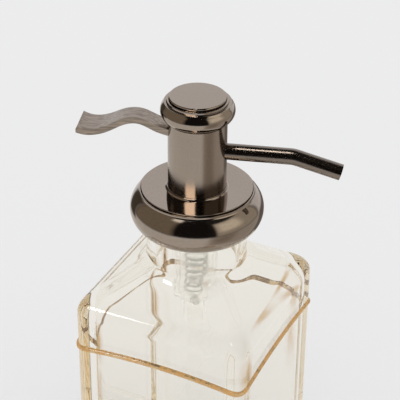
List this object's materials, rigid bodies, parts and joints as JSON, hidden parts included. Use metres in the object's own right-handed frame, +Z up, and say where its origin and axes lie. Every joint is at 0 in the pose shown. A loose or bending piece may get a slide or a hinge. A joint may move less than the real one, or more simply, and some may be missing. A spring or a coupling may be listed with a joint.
{
  "type": "soap pump dispenser",
  "caption": "Square clear glass soap bottle with a screw-on metal lever pump: press the thumb lever and the bent spout gives soap.",
  "frame": {"origin": "centre of the bottle's base, on the pump's axis", "axes": "+Z up along the pump's axis; X and Y normal to the bottle's flat faces; the spout points 17 degrees from +X towards +Y at rest"},
  "size_m": [0.1009, 0.076, 0.1936],
  "materials": {
    "glass": "clear pressed glass with a faint warm tint, amber where it is thick",
    "gunmetal": "warm gunmetal plating, satin brushed on flats, brighter on the bulges",
    "clear_plastic": "natural translucent polypropylene",
    "dark_plastic": "dark moulded plastic",
    "gasket": "soft white foam ring",
    "spring_steel": "drawn stainless wire and balls"
  },
  "bodies": {
    "bottle": {"bottle": "glass"},
    "pump": {"pump_housing": "clear_plastic", "mouth_gasket": "gasket", "chaplet": "clear_plastic", "ball_cage": "clear_plastic", "dip_tube": "clear_plastic", "spring": "spring_steel"},
    "collar": {"collar_shell": "gunmetal", "collar_plate": "gunmetal", "guide_ring": "gunmetal", "closure_insert": "dark_plastic"},
    "plunger": {"stem": "clear_plastic", "piston_rod": "clear_plastic"},
    "head": {"actuator_core": "dark_plastic", "column_shell": "gunmetal", "cap_shell": "gunmetal", "cap_disc": "gunmetal", "lever": "gunmetal", "lever_screw": "spring_steel", "nozzle_tube": "gunmetal", "nozzle_liner": "clear_plastic"},
    "piston": {"piston": "clear_plastic"},
    "ball": {"inlet_ball": "spring_steel"}
  },
  "joints": [
    {"name": "pump_lift", "type": "slide", "parent": "bottle", "child": "pump", "axis": [0, 0, 1], "range_m": [0, 0.00634]},
    {"name": "collar_turn", "type": "hinge", "parent": "pump", "child": "collar", "pos_m": [0, 0, 0.1445], "axis": [0, 0, 1], "range_deg": [0, 540]},
    {"name": "head_press", "type": "slide", "parent": "pump", "child": "plunger", "axis": [0, 0, -1], "range_m": [0, 0.01], "stiffness_N_per_m": 900, "springref_m": -0.008, "deforming": ["spring"]},
    {"name": "head_swivel", "type": "hinge", "parent": "plunger", "child": "head", "pos_m": [0, 0, 0.162], "axis": [0, 0, 1], "continuous": true},
    {"name": "piston_slip", "type": "slide", "parent": "plunger", "child": "piston", "axis": [0, 0, 1], "range_m": [0, 0.001]},
    {"name": "ball_lift", "type": "slide", "parent": "pump", "child": "ball", "axis": [0, 0, 1], "range_m": [0, 0.0015]}
  ],
  "couplings": [
    {"joint": "collar_turn", "follows": "pump_lift", "rad_per_m": 1485.4}
  ]
}
